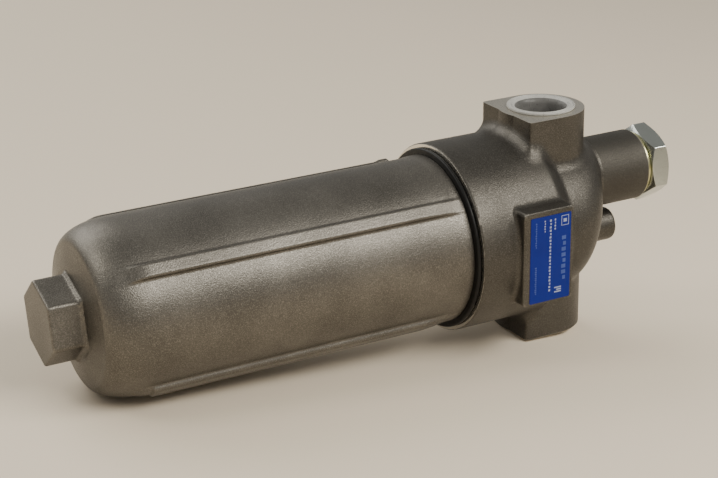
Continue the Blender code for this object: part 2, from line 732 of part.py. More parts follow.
def bypass_poppet(valve_axis):
    """Disc with a 45-degree nose that closes the seat, on a stem guided in the plug."""
    disc = SEAT_X[1] + GAP
    nose = disc - SEAT_CONE_LENGTH
    outline = [(nose, 0.0), (nose, SEAT_HOLE_RADIUS - GAP), (disc, SEAT_HOLE_RADIUS - GAP + SEAT_CONE_LENGTH),
               (disc, POPPET_RADIUS), (POPPET_DISC_END, POPPET_RADIUS), (POPPET_DISC_END, STEM_RADIUS),
               (STEM_END - EDGE_BREAK, STEM_RADIUS), (STEM_END, STEM_RADIUS - EDGE_BREAK), (STEM_END, 0.0)]
    return add_object("bypass_poppet", turned(outline, SMALL_SEGMENTS), machined_steel(), valve_axis)


def bypass_spring(valve_axis):
    start = POPPET_DISC_END + GAP + BYPASS_SPRING_WIRE
    end = PLUG_SHANK_START - GAP - BYPASS_SPRING_WIRE
    wire = coil(start, end, BYPASS_SPRING_RADIUS, BYPASS_SPRING_WIRE, BYPASS_SPRING_TURNS)
    return add_object("bypass_spring", wire, spring_steel(), valve_axis, 60)


def valve_plug(valve_axis):
    """Hexagon head with a chamfer on both sides, on a shank that screws into the valve tube."""
    low, high = NUT_X
    finish = plated_steel()
    nut = hexagon(NUT_RADIUS, NUT_TURN)
    head = add_object("valve_plug", skin([along_x(nut, low), along_x(nut, high)]), finish, valve_axis)
    widest = NUT_RADIUS + CORNER_CLEARANCE
    slope = (widest - NUT_FACE_RADIUS) * math.tan(CHAMFER_ANGLE)
    outer_low, outer_high = low - CORNER_CLEARANCE, high + CORNER_CLEARANCE
    barrel = turned([(outer_low, 0.0), (outer_low, NUT_FACE_RADIUS), (low, NUT_FACE_RADIUS),
                     (low + slope, widest), (high - slope, widest), (high, NUT_FACE_RADIUS),
                     (outer_high, NUT_FACE_RADIUS), (outer_high, 0.0)])
    boolean(head, add_object("nut_chamfers", barrel, finish, valve_axis), "INTERSECT")
    root = low + PLUG_SHANK_ROOT
    shank = turned([(PLUG_SHANK_START, 0.0), (PLUG_SHANK_START, PLUG_SHANK_RADIUS - EDGE_BREAK),
                    (PLUG_SHANK_START + EDGE_BREAK, PLUG_SHANK_RADIUS), (root, PLUG_SHANK_RADIUS),
                    (root, 0.0)], SMALL_SEGMENTS)
    fuse(head, add_object("plug_shank", shank, finish, valve_axis))
    guide = cylinder(PLUG_SHANK_START - OVERRUN, PLUG_GUIDE_END, STEM_RADIUS + GAP, segments=SMALL_SEGMENTS)
    return cut(head, add_object("stem_guide", guide, finish, valve_axis))


def plug_washer(valve_axis):
    washer = ring(WASHER_X, WASHER_RADII, SMALL_SEGMENTS)
    return add_object("valve_plug_washer", washer, yellow_washer(), valve_axis)


# ---------------------------------------------------------------- port plugs

def port_plug():
    """Push-in plastic plug: a cup with a flat flange, made about +Z over the top port."""
    under = PORT_FACE - SPOT_FACE_DEPTH + GAP
    top = under + FLANGE_THICKNESS
    bottom = top - CAP_DEPTH
    outline = [(bottom, 0.0), (bottom, CAP_BODY_RADIUS - EDGE_BREAK), (bottom + EDGE_BREAK, CAP_BODY_RADIUS),
               (under - CAP_SHOULDER, CAP_BODY_RADIUS), (under, CAP_MOUTH_RADIUS), (under, FLANGE_RADIUS),
               (top - CAP_EDGE, FLANGE_RADIUS), (top, FLANGE_RADIUS - CAP_EDGE), (top, CAP_MOUTH_RADIUS),
               (top - CAP_MOUTH_DEPTH, CAP_BORE_RADIUS), (bottom + CAP_FLOOR, CAP_BORE_RADIUS),
               (bottom + CAP_FLOOR, 0.0)]
    return about_z(turned(outline))


def port_plugs(frame):
    add_object("inlet_port_plug", port_plug(), white_plastic(), frame)
    add_object("outlet_port_plug", upside_down(port_plug()), white_plastic(), frame)


# ---------------------------------------------------------------- assembly

def build():
    for old in list(bpy.data.objects):
        bpy.data.objects.remove(old, do_unlink=True)

    frame = add_empty("filter_frame", (FRAME_SHIFT, 0.0, AXIS_HEIGHT), None)
    valve_axis = add_empty("valve_axis", (0.0, 0.0, TUBE_Z), frame)
    for make in (head_casting, label_plate, bowl, bowl_seal_ring, bowl_seals, element_top_cap,
                 element_bottom_cap, core_tube, pleated_media, outer_sleeve, element_o_ring, element_spring,
                 port_plugs):
        make(frame)
    for make in (bypass_seat, seat_o_ring, bypass_poppet, bypass_spring, valve_plug, plug_washer):
        make(valve_axis)


build()
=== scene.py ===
"""Looks for the inline pressure filter: fine castings, machined pieces, materials, floor, light and camera.

Lengths are in millimetres in the filter frame, whose origin is where the port axis crosses the main axis,
with X along the main axis and Z along the ports. The mesh functions turn them into the row frame's metres.
"""
import math

import bmesh
import bpy
import numpy as np
from mathutils import Matrix, Vector


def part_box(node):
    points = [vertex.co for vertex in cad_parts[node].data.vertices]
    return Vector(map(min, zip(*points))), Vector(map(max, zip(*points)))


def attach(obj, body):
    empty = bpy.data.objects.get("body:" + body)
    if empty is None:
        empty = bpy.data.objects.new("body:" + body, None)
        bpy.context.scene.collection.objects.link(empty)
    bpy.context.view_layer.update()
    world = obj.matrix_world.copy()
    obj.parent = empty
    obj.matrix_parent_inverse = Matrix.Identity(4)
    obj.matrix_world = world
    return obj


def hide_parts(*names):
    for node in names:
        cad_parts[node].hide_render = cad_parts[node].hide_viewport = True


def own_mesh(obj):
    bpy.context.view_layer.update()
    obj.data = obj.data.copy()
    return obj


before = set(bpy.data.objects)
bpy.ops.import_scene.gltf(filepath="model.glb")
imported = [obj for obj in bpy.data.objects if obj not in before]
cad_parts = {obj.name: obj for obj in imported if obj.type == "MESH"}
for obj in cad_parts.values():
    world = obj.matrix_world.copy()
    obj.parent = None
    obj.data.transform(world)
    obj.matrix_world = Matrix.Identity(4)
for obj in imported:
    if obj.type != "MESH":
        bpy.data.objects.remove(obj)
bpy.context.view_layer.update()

MM = 0.001


# ---------------------------------------------------------------- the filter frame

def find_origin():
    """The port axis is the inlet plug's centre line and the main axis is the seal ring's."""
    plug_low, plug_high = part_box("inlet_port_plug")
    ring_low, ring_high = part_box("bowl_seal_ring")
    return Vector(((plug_low.x + plug_high.x) / 2, 0.0, (ring_low.z + ring_high.z) / 2))


ORIGIN = find_origin()


def span(node):
    """Lowest and highest corner of a CAD node in the filter frame."""
    return [(corner - ORIGIN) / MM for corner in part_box(node)]


HEAD_LOW, HEAD_HIGH = span("head_casting")
BOWL_LOW, BOWL_HIGH = span("bowl")
RING_LOW, RING_HIGH = span("bowl_seal_ring")
LABEL_LOW, LABEL_HIGH = span("label_plate")
PLUG_LOW, PLUG_HIGH = span("valve_plug")
WASHER_LOW, WASHER_HIGH = span("valve_plug_washer")
CAP_LOW, CAP_HIGH = span("inlet_port_plug")

STOCK = 3.0                  # left on a casting's ends for machine_flat to cut off
OVERRUN = 8.0                # how far a hole runs past the face that it opens

# Head
COLLAR_FRONT = HEAD_LOW.x
TUBE_END = HEAD_HIGH.x
PORT_FACE = HEAD_HIGH.z
PAD_FACE = HEAD_HIGH.y
COLLAR_RADIUS = 55.0
COLLAR_CHAMFER = 0.6
SHOULDER_X = (-20.0, -5.0)
REAR_RADIUS = 45.3
REAR_X = (-10.7, 29.7)
REAR_POWER = 3.5             # how late the rear body closes in on the valve tube
TUBE_Z = (WASHER_LOW.z + WASHER_HIGH.z) / 2
TUBE_RADIUS = 21.25
BLOCK_RADIUS = 25.4
BLOCK_FRONT = -24.2
BLOCK_CORNER = 1.6
BLOCK_FOOT = 3.4             # fillet round a port block's foot
BLOCK_FOOT_GROWTH = 4.2      # and how much larger it gets towards the bowl
BLOCK_FOOT_X = (4.0, 27.0)   # over these distances from the port axis
PAD_X = (-49.6, -16.4)
PAD_Z = (-28.4, 27.6)
LABEL_PROUD = 0.25           # how far the label's film stands off the near pad
PAD_CORNER = 2.2
PAD_EDGE = 0.7
PAD_FOOT = 2.6
BOSS_Z = -15.1
BOSS_RADIUS = 10.0
BOSS_END = 50.8
BOSS_EDGE = 1.4
BOSS_FOOT = 1.6
PORT_THREAD_RADIUS = 15.3
PORT_THREAD_DEPTH = 22.0
PORT_MOUTH_RADIUS = 16.9
PORT_MOUTH_DEPTH = 1.6
PORT_BORE_RADIUS = 12.5
INLET_BOTTOM = 20.0          # the inlet bore stops this far above the main axis

# Bowl
HEX_END = BOWL_LOW.x
SPIGOT_END = BOWL_HIGH.x
BOWL_SHOULDER = RING_LOW.x - 0.3
BOWL_RADIUS = 48.3
LIP_RADIUS = 48.9
LIP_X = (BOWL_SHOULDER - 9, BOWL_SHOULDER - 3)   # the wall swells out to the lip between these
DOME_X = -265.3
DOME_LENGTH = 24.7
DOME_DROP = 10.9
CONE_LENGTH = 3.0
BOWL_BORE = 38.0
BOWL_FLOOR = -280.0
BORE_ROUND = 14.0            # radius round the bore's floor
HEX_RADIUS = 23.5
HEX_FOOT_RADIUS = 25.0
HEX_FOOT_LENGTH = 1.2
HEX_ROOT = 10.0              # how far the hexagon is sunk into the dome
HEX_TURN = math.radians(100.65)
RIB_ANGLES = (41.0, 131.0, 221.0, 311.0)
UPPER_FAR_RIB, LOWER_NEAR_RIB = RIB_ANGLES[1], RIB_ANGLES[3]
RIB_HALF_WIDTH = 4.3
RIB_RADIUS = 51.2
RIB_START = -281.0
RIB_SWELL = 19.0             # length over which a rib swells out of the dome
RIB_SUNK = 0.5               # how deep its start lies under the dome's skin
LOWER_RIB_SWELL = 15.0       # the same for the lower near rib,
LOWER_RIB_STEP = 1.5         # which gains the last of its height in a step,
LOWER_RIB_STEP_X = (RIB_START + 16, RIB_START + 17.5)
LOWER_RIB_WIDER = 1.4        # and is wider on each side than the others
RIB_EDGE = 0.8
LOWER_RIB_EDGE = 2.2
RIB_RUN_OUT = (BOWL_SHOULDER - 26, BOWL_SHOULDER + 1)
RIB_DRAFT = 0.12             # its sides lean by this share of their depth
RIB_ROOT = 30.0              # it reaches inwards to this distance from the axis
RIB_FOOT = 0.7
FAR_RIB_END = -84.0          # the upper far rib stops short in a blunt nub
FAR_RIB_DROP = (FAR_RIB_END - 2, FAR_RIB_END + 0.5)
NUB_X = (FAR_RIB_END - 11, FAR_RIB_END - 6)
NUB_HEIGHT = 0.9


# ---------------------------------------------------------------- solids as distance fields

def round_join(a, b, radius):
    """Union of two distance fields with a fillet in the corner between them."""
    reach = np.hypot(np.maximum(radius - a, 0), np.maximum(radius - b, 0))
    return np.maximum(radius, np.minimum(a, b)) - reach


def round_meet(a, b, radius):
    """Common part of two distance fields with its outer edge rounded."""
    reach = np.hypot(np.maximum(radius + a, 0), np.maximum(radius + b, 0))
    return np.minimum(-radius, np.maximum(a, b)) + reach


def between(t, low, high):
    return np.maximum(low - t, t - high)


def rectangle(u, v, u_range, v_range, corner):
    return round_meet(between(u, *u_range), between(v, *v_range), corner)


def rod_x(x, y, z, x_range, radius, centre_z=0.0):
    return np.maximum(np.hypot(y, z - centre_z) - radius, between(x, *x_range))


def hexagon_field(y, z, radius, corner):
    """Hexagon in the YZ plane with rounded corners; the turn goes from -Y towards +Z."""
    flat = radius * math.cos(math.pi / 6)
    faces = []
    for side in range(3):
        angle = HEX_TURN + math.radians(30 + 60 * side)
        faces.append(np.abs(-y * math.cos(angle) + z * math.sin(angle)) - flat)
    first = round_meet(faces[0], faces[1], corner)
    return round_meet(first, faces[2], corner)


def ease(t, low, high):
    share = np.clip((t - low) / (high - low), 0, 1)
    return share * share * (3 - 2 * share)


def grid(low, high, step):
    """Open grid of points over a box."""
    return [np.arange(a, b + step, step, dtype=np.float32).reshape(shape)
            for a, b, shape in zip(low, high, ((-1, 1, 1), (1, -1, 1), (1, 1, -1)))]


def edge_window(crossing, axis, shift):
    """The cells' edges along one axis, at one of the four places round the cell."""
    window = [slice(None)] * 3
    others = [number for number in range(3) if number != axis]
    for other, offset in zip(others, shift):
        window[other] = slice(offset, crossing.shape[other] - 1 + offset)
    return tuple(window), others


def surface(field, low, step):
    """Surface net of a distance field: one vertex in each crossed cell, one quad for each crossed edge."""
    inside = field < 0
    cells = tuple(size - 1 for size in field.shape)
    total = np.zeros(cells + (3,), np.float32)
    count = np.zeros(cells, np.float32)
    crossings = []
    for axis in range(3):
        first = [slice(None)] * 3
        second = [slice(None)] * 3
        first[axis], second[axis] = slice(None, -1), slice(1, None)
        a, b = field[tuple(first)], field[tuple(second)]
        crossing = inside[tuple(first)] != inside[tuple(second)]
        place = np.where(crossing, a / np.where(crossing, a - b, 1), 0)
        crossings.append((crossing, inside[tuple(first)]))
        for shift in ((0, 0), (0, 1), (1, 0), (1, 1)):
            window, others = edge_window(crossing, axis, shift)
            hit = crossing[window]
            total[..., axis] += place[window]
            for other, offset in zip(others, shift):
                total[..., other] += hit * offset
            count += hit
    used = count > 0
    index = np.argwhere(used)
    points = np.array(low) + step * (index + total[used] / count[used][:, None])
    number = np.full(cells, -1, np.int64)
    number[used] = np.arange(len(index))
    quads = []
    for axis, (crossing, first_inside) in enumerate(crossings):
        u, v = [(1, 2), (2, 0), (0, 1)][axis]
        place = np.argwhere(crossing)
        keep = (place[:, u] > 0) & (place[:, v] > 0) & (place[:, u] < cells[u]) & (place[:, v] < cells[v])
        place = place[keep]
        ring = []
        for du, dv in ((1, 1), (0, 1), (0, 0), (1, 0)):
            cell = place.copy()
            cell[:, u] -= du
            cell[:, v] -= dv
            ring.append(number[tuple(cell.T)])
        quad = np.stack(ring, axis=1)
        flip = ~first_inside[tuple(place.T)]
        quad[flip] = quad[flip][:, ::-1]
        quads.append(quad)
    return points, np.concatenate(quads)


# ---------------------------------------------------------------- mesh tools

def new_piece(name, bm, materials, body, stands_for=(), smooth_angle=45):
    """Turn a bmesh in the filter frame into a piece that rides on a body."""
    bmesh.ops.scale(bm, vec=(MM, MM, MM), verts=bm.verts)
    bmesh.ops.translate(bm, vec=ORIGIN, verts=bm.verts)
    mesh = bpy.data.meshes.new(name)
    bm.to_mesh(mesh)
    bm.free()
    for finish in materials:
        mesh.materials.append(finish)
    mesh.shade_smooth()
    mesh.set_sharp_from_angle(angle=math.radians(smooth_angle))
    made = bpy.data.objects.new(name, mesh)
    bpy.context.collection.objects.link(made)
    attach(made, body)
    if stands_for:
        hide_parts(*stands_for)
    return made


def field_mesh(field, low, step):
    points, quads = surface(field, low, step)
    mesh = bpy.data.meshes.new("field")
    mesh.from_pydata(points.tolist(), [], quads.tolist())
    bm = bmesh.new()
    bm.from_mesh(mesh)
    bpy.data.meshes.remove(mesh)
    return bm


def machine_flat(bm, point, normal, material_index):
    """Cut a solid flat at a plane and cap it."""
    geometry = bm.verts[:] + bm.edges[:] + bm.faces[:]
    result = bmesh.ops.bisect_plane(bm, geom=geometry, dist=1e-4, plane_co=point, plane_no=normal,
                                    clear_outer=True)
    rim = [part for part in result["geom_cut"] if isinstance(part, bmesh.types.BMEdge)]
    filled = bmesh.ops.triangle_fill(bm, edges=rim, normal=normal, use_beauty=True)
    for part in filled["geom"]:
        if isinstance(part, bmesh.types.BMFace):
            part.material_index = material_index


def circle_points(x, radius, sides, centre_z=0.0):
    turns = [2 * math.pi * step / sides for step in range(sides)]
    return [(x, radius * math.sin(turn), centre_z + radius * math.cos(turn)) for turn in turns]


def turned(outline, sides, centre_z=0.0, about_z=0):
    """Solid of revolution from (along, radius) corners, about X, or about Z when about_z is 1 or -1."""
    bm = bmesh.new()
    rings = []
    for along, radius in outline:
        if radius == 0:
            rings.append([bm.verts.new((along, 0.0, centre_z))])
        else:
            rings.append([bm.verts.new(point) for point in circle_points(along, radius, sides, centre_z)])
    closed = len(rings[0]) > 1 and len(rings[-1]) > 1
    pairs = list(zip(rings, rings[1:] + rings[:1])) if closed else list(zip(rings, rings[1:]))
    for first, second in pairs:
        for step in range(sides):
            ahead = (step + 1) % sides
            loop = [first[step % len(first)], first[ahead % len(first)],
                    second[ahead % len(second)], second[step % len(second)]]
            bm.faces.new(list(dict.fromkeys(loop)))
    if about_z:
        turn = Matrix.Rotation(-about_z * math.pi / 2, 3, "Y")
        bmesh.ops.rotate(bm, cent=(0, 0, 0), matrix=turn, verts=bm.verts)
    bmesh.ops.recalc_face_normals(bm, faces=bm.faces)
    return bm


def arc(centre, radius, start, end, steps):
    angles = [math.radians(start + (end - start) * step / steps) for step in range(steps + 1)]
    return [(centre[0] + radius * math.cos(angle), centre[1] + radius * math.sin(angle)) for angle in angles]


# ---------------------------------------------------------------- materials

class Finish:
    """A Principled material with short ways to add and join nodes."""

    def __init__(self, name, colour, metallic, roughness):
        self.material = bpy.data.materials.new(name)
        self.material.use_nodes = True
        self.tree = self.material.node_tree
        self.shader = self.tree.nodes["Principled BSDF"]
        self.set("Base Color", (*colour, 1.0))
        self.set("Metallic", metallic)
        self.set("Roughness", roughness)
        self.place = self.tree.nodes.new("ShaderNodeTexCoord").outputs["Object"]
        self.bump = None

    def set(self, socket, value):
        self.shader.inputs[socket].default_value = value

    def link(self, output, node, socket):
        self.tree.links.new(output, node.inputs[socket])

    def noise(self, size, detail, stretch=None):
        """Noise whose features are about `size` millimetres across."""
        node = self.tree.nodes.new("ShaderNodeTexNoise")
        node.inputs["Scale"].default_value = 1 / (size * MM)
        node.inputs["Detail"].default_value = detail
        place = self.place
        if stretch is not None:
            mapping = self.tree.nodes.new("ShaderNodeMapping")
            mapping.inputs["Scale"].default_value = stretch
            self.link(place, mapping, "Vector")
            place = mapping.outputs["Vector"]
        self.link(place, node, "Vector")
        return node.outputs["Fac"]

    def edges(self, low, high):
        """1 on sharp outer edges, 0 elsewhere; it marks edge wear together with a painted edge highlight."""
        geometry = self.tree.nodes.new("ShaderNodeNewGeometry")
        return self.range(geometry.outputs["Pointiness"], low, high, 0.0, 1.0)

    def range(self, value, low, high, out_low, out_high):
        node = self.tree.nodes.new("ShaderNodeMapRange")
        self.link(value, node, "Value")
        for socket, number in (("From Min", low), ("From Max", high),
                               ("To Min", out_low), ("To Max", out_high)):
            node.inputs[socket].default_value = number
        return node.outputs["Result"]

    def mix(self, share, first, second):
        """Mix from `first`, a colour or an output, towards the colour `second`."""
        node = self.tree.nodes.new("ShaderNodeMix")
        node.data_type = "RGBA"
        colour_a, colour_b, colour_result = 6, 7, 2
        self.link(share, node, "Factor")
        if isinstance(first, tuple):
            node.inputs[colour_a].default_value = (*first, 1.0)
        else:
            self.link(first, node, colour_a)
        node.inputs[colour_b].default_value = (*second, 1.0)
        return node.outputs[colour_result]

    def paint(self, output, socket):
        self.link(output, self.shader, socket)

    def relief(self, height, depth, strength):
        """Bump with a full height of `depth` millimetres, on top of any bump before it."""
        node = self.tree.nodes.new("ShaderNodeBump")
        node.inputs["Distance"].default_value = depth * MM
        node.inputs["Strength"].default_value = strength
        self.link(height, node, "Height")
        if self.bump:
            self.link(self.bump, node, "Normal")
        self.bump = node.outputs["Normal"]
        self.link(self.bump, self.shader, "Normal")


def cast_aluminium(name, dark, light, rubbed_and_glint_colour, smoothest, roughest, fleck=0.2):
    """Shot-blasted casting: blotches, a grain with dark and bright specks that are partly its own tone and
    partly painted shade and painted glints of its facets, and edges rubbed bright, partly by wear and partly
    as a painted edge highlight.
    """
    finish = Finish(name, light, 0.9, 0.45)
    blotch = finish.range(finish.noise(42.0, 4.0), 0.35, 0.65, 0.0, 1.0)
    colour = finish.mix(blotch, dark, light)
    grain = finish.noise(0.62, 1.5)
    speckle = finish.noise(0.55, 1.0)
    # Dark specks: partly pits in the grain, partly painted shade of its facets.
    pit_and_shade = tuple(0.4 * part for part in dark)
    colour = finish.mix(finish.range(speckle, 0.30, 0.52, 1.6 * fleck, 0.0), colour, pit_and_shade)
    # Bright specks: partly the grain's own tone, partly painted glints of its facets.
    colour = finish.mix(finish.range(speckle, 0.52, 0.72, 0.0, fleck), colour, rubbed_and_glint_colour)
    # Edges: partly rubbed bright by wear, partly a painted edge highlight.
    colour = finish.mix(finish.edges(0.54, 0.62), colour, rubbed_and_glint_colour)
    finish.paint(colour, "Base Color")
    finish.paint(finish.range(grain, 0.3, 0.7, roughest, smoothest), "Roughness")
    finish.relief(finish.noise(16.0, 2.0), 0.30, 0.5)
    finish.relief(finish.noise(4.0, 2.0), 0.05, 0.5)
    finish.relief(grain, 0.17, 1.0)
    return finish.material


def machined_aluminium(name, dark, light, roughness, relief):
    """Bare metal with faint tool lines."""
    finish = Finish(name, light, 0.95, roughness)
    lines = finish.noise(0.5, 2.0, (1.0, 0.12, 1.0))
    finish.paint(finish.range(lines, 0.3, 0.7, 0.8 * roughness, 1.3 * roughness), "Roughness")
    finish.paint(finish.mix(finish.noise(9.0, 3.0), dark, light), "Base Color")
    finish.relief(lines, relief, 0.5)
    return finish.material


def rubber():
    finish = Finish("black_rubber", (0.006, 0.006, 0.006), 0.0, 0.3)
    finish.set("Specular IOR Level", 0.22)
    dust = finish.range(finish.noise(3.0, 4.0), 0.55, 0.8, 0.0, 0.25)
    finish.paint(finish.mix(dust, (0.005, 0.005, 0.005), (0.03, 0.029, 0.027)), "Base Color")
    finish.paint(finish.range(finish.noise(1.2, 3.0), 0.3, 0.7, 0.34, 0.52), "Roughness")
    finish.relief(finish.noise(0.8, 3.0), 0.03, 0.5)
    return finish.material


def plated_steel():
    """Clear zinc plating over milled flats, with a faint haze and edges brightened, partly by wear and partly
    as a painted edge highlight.
    """
    finish = Finish("plated_steel", (0.45, 0.47, 0.45), 1.0, 0.25)
    haze = finish.noise(14.0, 3.0)
    colour = finish.mix(haze, (0.42, 0.445, 0.42), (0.51, 0.54, 0.51))
    # Edges: partly wear, partly a painted edge highlight.
    finish.paint(finish.mix(finish.edges(0.54, 0.62), colour, (0.80, 0.82, 0.78)), "Base Color")
    mill = finish.noise(0.35, 2.0, (0.08, 1.0, 1.0))
    finish.paint(finish.range(mill, 0.3, 0.7, 0.14, 0.24), "Roughness")
    finish.relief(mill, 0.004, 0.5)
    return finish.material


def yellow_zinc():
    finish = Finish("yellow_zinc", (0.55, 0.50, 0.24), 1.0, 0.28)
    tint = finish.range(finish.noise(5.0, 3.0), 0.35, 0.65, 0.0, 1.0)
    finish.paint(finish.mix(tint, (0.50, 0.47, 0.22), (0.62, 0.58, 0.36)), "Base Color")
    finish.relief(finish.noise(0.7, 2.0), 0.015, 0.5)
    return finish.material


def white_plastic(name, low, high, clearness):
    """Milky plastic with a soft cloudiness, as clear as `clearness`."""
    finish = Finish(name, high, 0.0, 0.3)
    finish.set("Transmission Weight", clearness)
    finish.set("IOR", 1.3)
    cloud = finish.range(finish.noise(7.0, 3.0), 0.3, 0.7, 0.0, 1.0)
    finish.paint(finish.mix(cloud, low, high), "Base Color")
    finish.paint(finish.range(finish.noise(1.5, 3.0), 0.3, 0.7, 0.24, 0.42), "Roughness")
    finish.relief(finish.noise(2.5, 2.0), 0.03, 0.4)
    return finish.material


def label_film(name, low, high):
    """Printed film: the ink's tone drifts a little and the film follows the pad's grain."""
    finish = Finish(name, high, 0.0, 0.45)
    finish.set("Specular IOR Level", 0.18)
    finish.paint(finish.mix(finish.noise(11.0, 3.0), low, high), "Base Color")
    finish.paint(finish.range(finish.noise(2.0, 3.0), 0.3, 0.7, 0.30, 0.48), "Roughness")
    finish.relief(finish.noise(1.2, 3.0), 0.03, 0.4)
    return finish.material


def turned_steel():
    finish = Finish("turned_steel", (0.46, 0.46, 0.45), 1.0, 0.3)
    rings = finish.noise(0.3, 1.0, (1.0, 0.05, 0.05))
    finish.paint(finish.range(rings, 0.3, 0.7, 0.22, 0.42), "Roughness")
    finish.paint(finish.mix(finish.noise(8.0, 3.0), (0.38, 0.38, 0.37), (0.55, 0.55, 0.54)), "Base Color")
    finish.relief(rings, 0.01, 0.5)
    return finish.material


def spring_steel():
    finish = Finish("spring_steel", (0.22, 0.22, 0.23), 1.0, 0.3)
    finish.paint(finish.mix(finish.noise(4.0, 3.0), (0.14, 0.14, 0.15), (0.30, 0.30, 0.31)), "Base Color")
    finish.relief(finish.noise(0.6, 2.0), 0.01, 0.5)
    return finish.material


def filter_paper():
    finish = Finish("filter_paper", (0.74, 0.71, 0.62), 0.0, 0.9)
    fibres = finish.noise(0.4, 5.0, (0.3, 1.0, 1.0))
    finish.paint(finish.mix(fibres, (0.60, 0.57, 0.48), (0.84, 0.81, 0.72)), "Base Color")
    finish.relief(fibres, 0.08, 0.7)
    return finish.material


def seal_backing():
    finish = Finish("seal_backing", (0.82, 0.80, 0.74), 0.0, 0.5)
    finish.paint(finish.mix(finish.noise(3.0, 2.0), (0.74, 0.72, 0.66), (0.86, 0.84, 0.79)), "Base Color")
    finish.relief(finish.noise(0.8, 2.0), 0.02, 0.4)
    return finish.material


def floor_finish():
    finish = Finish("pale_floor", (0.82, 0.715, 0.570), 0.0, 0.75)
    drift = finish.noise(260.0, 3.0)
    finish.paint(finish.mix(drift, (0.81, 0.705, 0.560), (0.83, 0.725, 0.580)), "Base Color")
    finish.relief(finish.noise(1.5, 3.0), 0.05, 0.2)
    return finish.material


CAST = cast_aluminium("cast_aluminium", dark=(0.114, 0.106, 0.093), light=(0.168, 0.157, 0.138),
                      rubbed_and_glint_colour=(0.52, 0.49, 0.43), smoothest=0.33, roughest=0.50)
# Painted shade: a darker copy of the cast aluminium for the head, whose sides get less light than the bowl.
HEAD_CAST_SHADED = cast_aluminium("head_casting", dark=(0.070, 0.065, 0.057), light=(0.103, 0.096, 0.084),
                           rubbed_and_glint_colour=(0.36, 0.34, 0.30), smoothest=0.36, roughest=0.52)
# Painted shade: a still darker, rougher copy for the valve tube, which lies in the shade of the collar and
# port block.
TUBE_CAST_SHADED = cast_aluminium("tube_casting_shaded", dark=(0.066, 0.061, 0.053), light=(0.082, 0.077, 0.067),
                           rubbed_and_glint_colour=(0.24, 0.23, 0.20), smoothest=0.52, roughest=0.66, fleck=0.10)
MACHINED = machined_aluminium("machined_aluminium", dark=(0.50, 0.47, 0.41), light=(0.60, 0.57, 0.50),
                              roughness=0.32, relief=0.008)
TURNED = machined_aluminium("turned_aluminium", dark=(0.66, 0.63, 0.57), light=(0.76, 0.73, 0.66),
                            roughness=0.14, relief=0.004)
RUBBER = rubber()
PLATED = plated_steel()
YELLOW = yellow_zinc()
PLASTIC = white_plastic("white_plastic", low=(0.47, 0.465, 0.44), high=(0.58, 0.575, 0.545), clearness=0.2)
# Painted shade: a darker copy of the plastic for the inside of the plug's cup and its hidden body.
PLASTIC_SHADED = white_plastic("white_plastic_shaded", low=(0.11, 0.109, 0.105), high=(0.17, 0.167, 0.16),
                             clearness=0.12)
LABEL_BLUE = label_film("label_blue", (0.001, 0.009, 0.160), (0.002, 0.015, 0.205))
LABEL_PALE = label_film("label_pale", (0.04, 0.07, 0.26), (0.07, 0.11, 0.33))
LABEL_WHITE = label_film("label_white", (0.24, 0.28, 0.44), (0.34, 0.38, 0.54))
STEEL = turned_steel()
SPRING = spring_steel()
PAPER = filter_paper()
BACKING = seal_backing()


# ---------------------------------------------------------------- head casting

HEAD_STEP = 0.9

# X range, radius and height of the head's round passages along X. Those that meet overlap a little.
HEAD_PASSAGES = (
    ((COLLAR_FRONT - OVERRUN, -50.0), 45.3, 0.0),        # socket for the bowl's thread
    ((-52.0, -38.0), 44.2, 0.0),                         # seal bore
    ((-40.0, -24.0), 38.0, 0.0),                         # chamber round the element's upper cap
    ((-26.0, 2.0), 14.2, 0.0),                           # element socket
    ((49.0, TUBE_END + OVERRUN), 16.7, TUBE_Z),          # valve plug's thread
    ((16.0, 50.0), 14.0, TUBE_Z),                        # tube bore
    ((6.0, 18.0), 7.5, TUBE_Z),                          # valve inlet
    ((-26.0, 0.0), 7.0, 30.0),                           # passage from the inlet to the chamber
    ((BOSS_END - 16.0, BOSS_END + 4.0), 3.4, BOSS_Z))    # boss hole


def head_body(x, y, z):
    """Collar, shoulder, rear body and valve tube as one run of circles along X."""
    along = x.ravel()
    shoulder = np.clip((along - SHOULDER_X[0]) / (SHOULDER_X[1] - SHOULDER_X[0]), 0, 1)
    base = REAR_RADIUS + (COLLAR_RADIUS - REAR_RADIUS) * (1 + np.cos(np.pi * shoulder)) / 2
    closing = np.clip((along - REAR_X[0]) / (REAR_X[1] - REAR_X[0]), 0, 1) ** REAR_POWER
    radius = (base - (REAR_RADIUS - TUBE_RADIUS) * closing).reshape(x.shape)
    centre = (TUBE_Z * closing).reshape(x.shape)
    radius_slope = np.gradient(radius.ravel(), along).reshape(x.shape)
    centre_slope = np.gradient(centre.ravel(), along).reshape(x.shape)
    reach = np.hypot(y, z - centre)
    slope = radius_slope + centre_slope * (z - centre) / np.maximum(reach, 1.0)
    chamfer = (np.hypot(y, z) - COLLAR_RADIUS + COLLAR_CHAMFER + COLLAR_FRONT - x) / math.sqrt(2)
    wall = (reach - radius) / np.sqrt(1 + slope ** 2)
    return np.maximum(np.maximum(wall, chamfer), between(x, COLLAR_FRONT - STOCK, TUBE_END + STOCK))


def head_holes(x, y, z):
    holes = [rod_x(x, y, z, *passage) for passage in HEAD_PASSAGES]
    across = np.hypot(x, y)
    opening = PORT_FACE + OVERRUN
    holes.append(np.maximum(across - PORT_THREAD_RADIUS,
                            between(np.abs(z), PORT_FACE - PORT_THREAD_DEPTH, opening)))
    holes.append(np.maximum(across - PORT_MOUTH_RADIUS,
                            between(np.abs(z), PORT_FACE - PORT_MOUTH_DEPTH, opening)))
    holes.append(np.maximum(across - PORT_BORE_RADIUS, between(z, INLET_BOTTOM, PORT_FACE)))
    holes.append(np.maximum(across - PORT_BORE_RADIUS, between(z, -PORT_FACE, 0)))
    return holes


